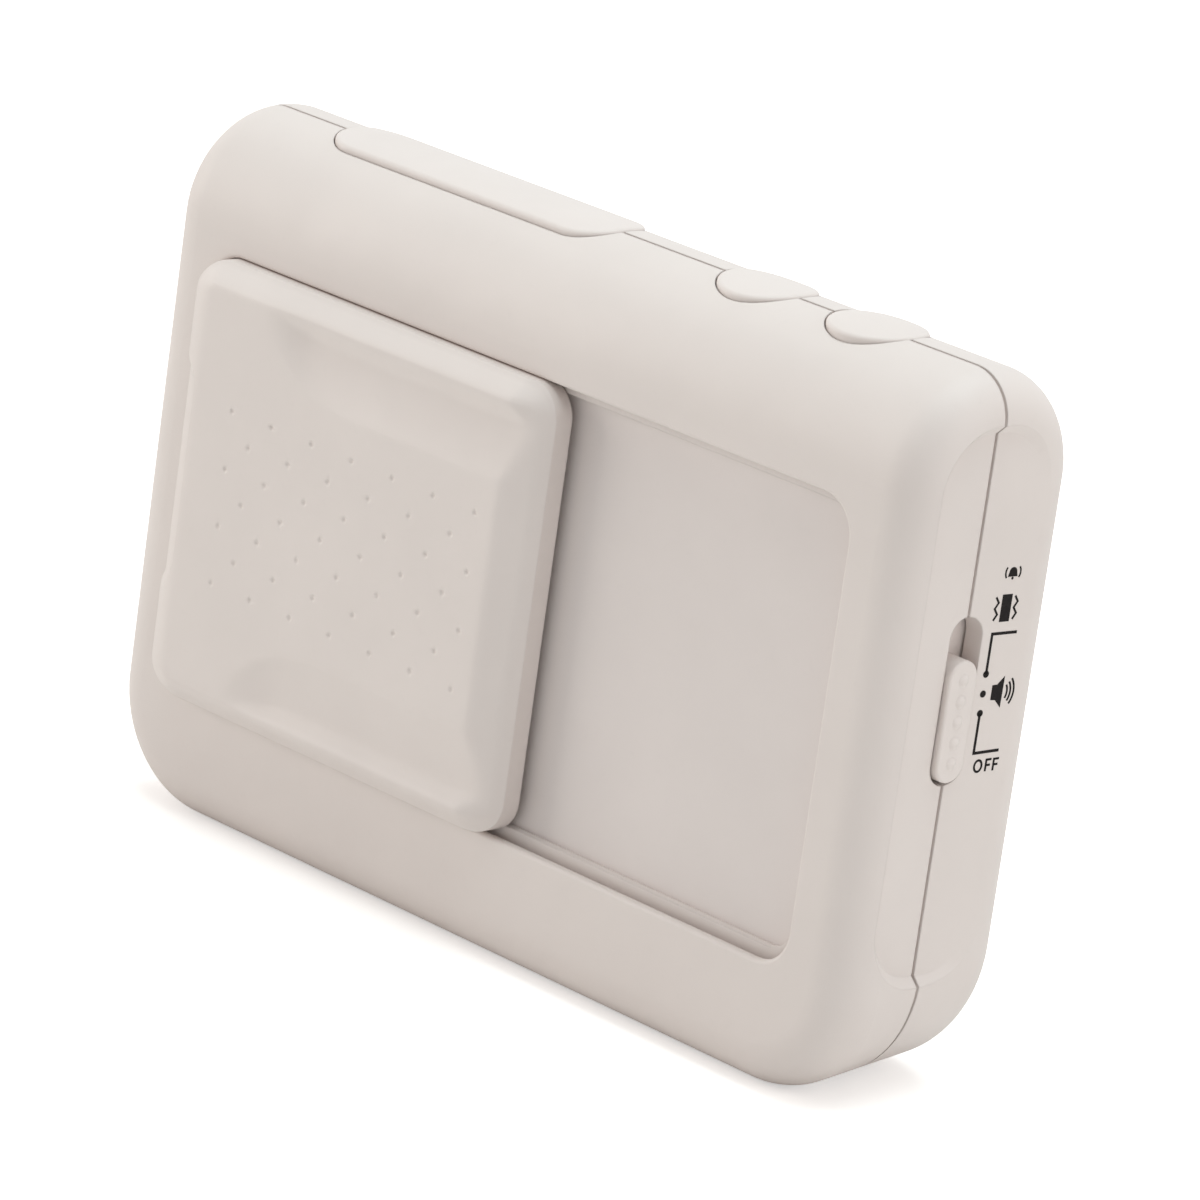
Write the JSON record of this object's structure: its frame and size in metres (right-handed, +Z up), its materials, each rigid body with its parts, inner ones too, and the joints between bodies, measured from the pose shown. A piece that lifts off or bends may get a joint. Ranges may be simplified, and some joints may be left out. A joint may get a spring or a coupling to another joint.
{
  "type": "bed shaker alarm clock",
  "caption": "Pocket vibrating alarm clock: rounded moulded case, sliding display cover, snooze bar, round buttons and a side alarm switch.",
  "frame": {"origin": "centre of the footprint, on the surface that the clock stands on", "axes": "+X to the right seen from the front, +Y to the back, +Z up"},
  "size_m": [0.113, 0.0274, 0.0786],
  "materials": {
    "case_plastic": "satin moulded ABS",
    "cover_plastic": "satin moulded ABS",
    "button_plastic": "satin moulded ABS",
    "panel_plastic": "fine matt moulded ABS",
    "clear_window": "clear moulded acrylic",
    "lcd_glass": "grey-green liquid crystal glass",
    "light_guide": "frosted acrylic",
    "zebra_rubber": "layered conductive rubber",
    "dark_plastic": "moulded nylon",
    "board_laminate": "solder mask over laminate",
    "screw_steel": "zinc plated",
    "led_resin": "moulded resin",
    "black_resin": "glossy epoxy",
    "crystal_can": "drawn tin plated can",
    "component_black": "moulded",
    "switch_black": "moulded nylon",
    "plunger_plastic": "moulded acetal",
    "switch_steel": "folded steel",
    "motor_steel": "drawn zinc plated steel",
    "shaft_steel": "ground",
    "weight_brass": "turned",
    "strap_steel": "bent strip",
    "buzzer_black": "moulded",
    "foam": "soft foam",
    "cell_jacket": "printed jacket",
    "contact_nickel": "nickel plated spring steel"
  },
  "bodies": {
    "clock_body": {"front_shell": "case_plastic", "rear_shell": "case_plastic", "display_panel": "panel_plastic", "display_window": "clear_window", "lcd_glass": "lcd_glass", "light_guide": "light_guide", "zebra_strips": "zebra_rubber", "lcd_frame": "dark_plastic", "main_board": "board_laminate", "board_screws": "screw_steel", "backlight_led": "led_resin", "chip_blob": "black_resin", "crystal": "crystal_can", "board_components": "component_black", "snooze_push_switch": "switch_black", "left_push_switch": "switch_black", "right_push_switch": "switch_black", "alarm_switch_body": "switch_steel", "motor_can": "motor_steel", "motor_end_cap": "dark_plastic", "motor_strap": "strap_steel", "strap_screws": "screw_steel", "buzzer": "buzzer_black", "buzzer_pad": "foam", "lower_cell": "cell_jacket", "upper_cell": "cell_jacket", "battery_bridge": "contact_nickel", "battery_terminals": "contact_nickel", "case_screws": "screw_steel"},
    "cover": {"sliding_cover": "cover_plastic"},
    "snooze": {"snooze_bar": "button_plastic", "snooze_plunger": "plunger_plastic"},
    "left_button": {"round_button_left": "button_plastic", "left_plunger": "plunger_plastic"},
    "right_button": {"round_button_right": "button_plastic", "right_plunger": "plunger_plastic"},
    "alarm_slide": {"alarm_slider": "button_plastic", "alarm_switch_lever": "switch_black"},
    "motor_rotor": {"motor_shaft": "shaft_steel", "eccentric_weight": "weight_brass"},
    "door": {"battery_door": "case_plastic"}
  },
  "joints": [
    {"name": "cover_slide", "type": "slide", "parent": "clock_body", "child": "cover", "axis": [1, 0, 0], "range_m": [0, 0.0396]},
    {"name": "snooze_press", "type": "slide", "parent": "clock_body", "child": "snooze", "axis": [0, 0, -1], "range_m": [0, 0.0007], "stiffness_N_per_m": 900, "springref_m": -0.0003},
    {"name": "left_button_press", "type": "slide", "parent": "clock_body", "child": "left_button", "axis": [0, 0, -1], "range_m": [0, 0.0007], "stiffness_N_per_m": 600, "springref_m": -0.0003},
    {"name": "right_button_press", "type": "slide", "parent": "clock_body", "child": "right_button", "axis": [0, 0, -1], "range_m": [0, 0.0007], "stiffness_N_per_m": 600, "springref_m": -0.0003},
    {"name": "alarm_switch_slide", "type": "slide", "parent": "clock_body", "child": "alarm_slide", "axis": [0, 0, 1], "range_m": [0, 0.004]},
    {"name": "motor_spin", "type": "hinge", "parent": "clock_body", "child": "motor_rotor", "pos_m": [0.035, 0.0021, 0.021], "axis": [1, 0, 0], "continuous": true},
    {"name": "battery_door_hinge", "type": "hinge", "parent": "clock_body", "child": "door", "pos_m": [0.0054, 0.0128, 0.0187], "axis": [0, 0, -1], "range_deg": [0, 75]}
  ]
}
